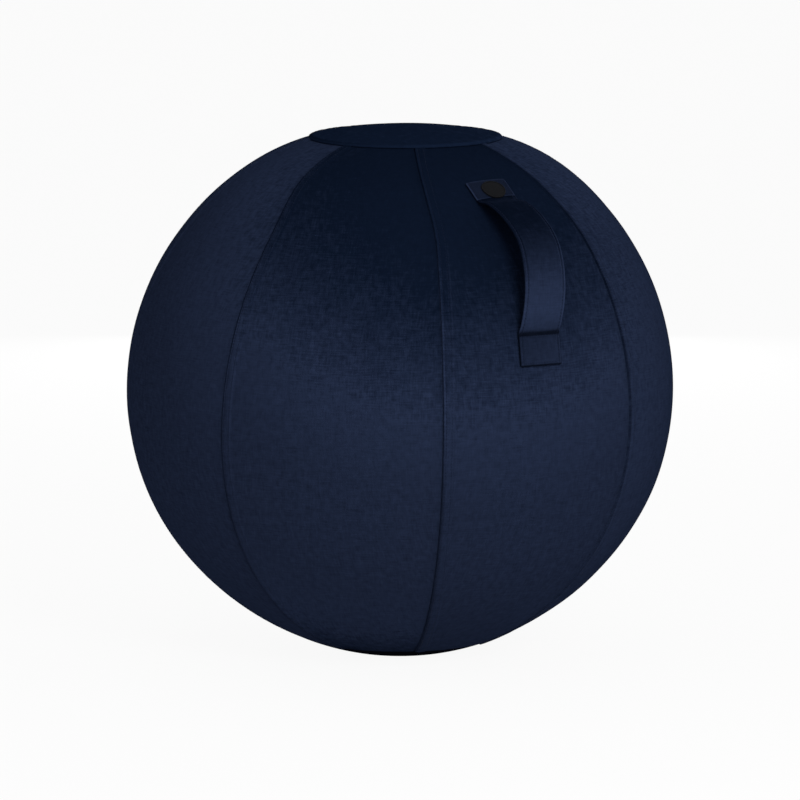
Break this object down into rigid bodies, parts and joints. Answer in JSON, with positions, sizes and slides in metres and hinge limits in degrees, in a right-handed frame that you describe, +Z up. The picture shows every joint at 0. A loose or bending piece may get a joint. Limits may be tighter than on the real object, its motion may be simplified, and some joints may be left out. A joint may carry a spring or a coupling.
{
  "type": "sitting ball",
  "caption": "Air-filled sitting ball in a sewn velvet cover of upright gores, with a round cap, a flat zipped base and a stitched carrying strap.",
  "frame": {"origin": "middle of the flat base, on the floor", "axes": "+Z up through the middle of the cap; the carrying strap faces -Y, +X to the right of someone who faces the strap"},
  "size_m": [0.6498, 0.6498, 0.6246],
  "materials": {
    "cover_velvet": "dark navy velvet, short nap lying downwards",
    "base_cloth": "black coarse non-slip cloth",
    "badge_rubber": "black moulded soft rubber, bare face",
    "ball_skin": "grey soft vinyl, satin",
    "plug_plastic": "white plastic",
    "zip_tape": "black woven polyester tape",
    "zip_teeth": "black moulded plastic",
    "zip_metal": "black lacquered zinc"
  },
  "bodies": {
    "cover": {"cover_panel_1": "cover_velvet", "cover_panel_2": "cover_velvet", "cover_panel_3": "cover_velvet", "cover_panel_4": "cover_velvet", "cover_panel_5": "cover_velvet", "cover_panel_6": "cover_velvet", "cover_panel_7": "cover_velvet", "cover_panel_8": "cover_velvet", "top_cap": "cover_velvet", "base_panel": "base_cloth", "handle_upper_end": "cover_velvet", "handle_lower_end": "cover_velvet", "handle_badge": "badge_rubber", "inner_ball": "ball_skin", "air_plug": "plug_plastic", "zip_tape_outer": "zip_tape", "zip_tape_inner": "zip_tape", "zip_teeth_outer": "zip_teeth", "zip_teeth_inner": "zip_teeth", "zip_stops": "zip_teeth"},
    "handle": {"handle_grip": "cover_velvet"},
    "zip_slider": {"zip_slider": "zip_metal"},
    "zip_pull": {"zip_pull": "zip_metal"}
  },
  "joints": [
    {"name": "handle_swing", "type": "hinge", "parent": "cover", "child": "handle", "pos_m": [0, -0.28313, 0.49265], "axis": [0, 0.5358, 0.8443], "range_deg": [-25, 25], "stiffness_Nm_per_rad": 0.08},
    {"name": "zip_run", "type": "hinge", "parent": "cover", "child": "zip_slider", "pos_m": [0, 0, 0], "axis": [0, 0, 1], "range_deg": [0, 120], "deforming": ["zip_teeth_outer", "zip_teeth_inner"]},
    {"name": "zip_pull_flip", "type": "hinge", "parent": "zip_slider", "child": "zip_pull", "pos_m": [0.10611, -0.03161, 0.01162], "axis": [-0.8977, 0.2674, -0.3501], "range_deg": [0, 150]}
  ]
}
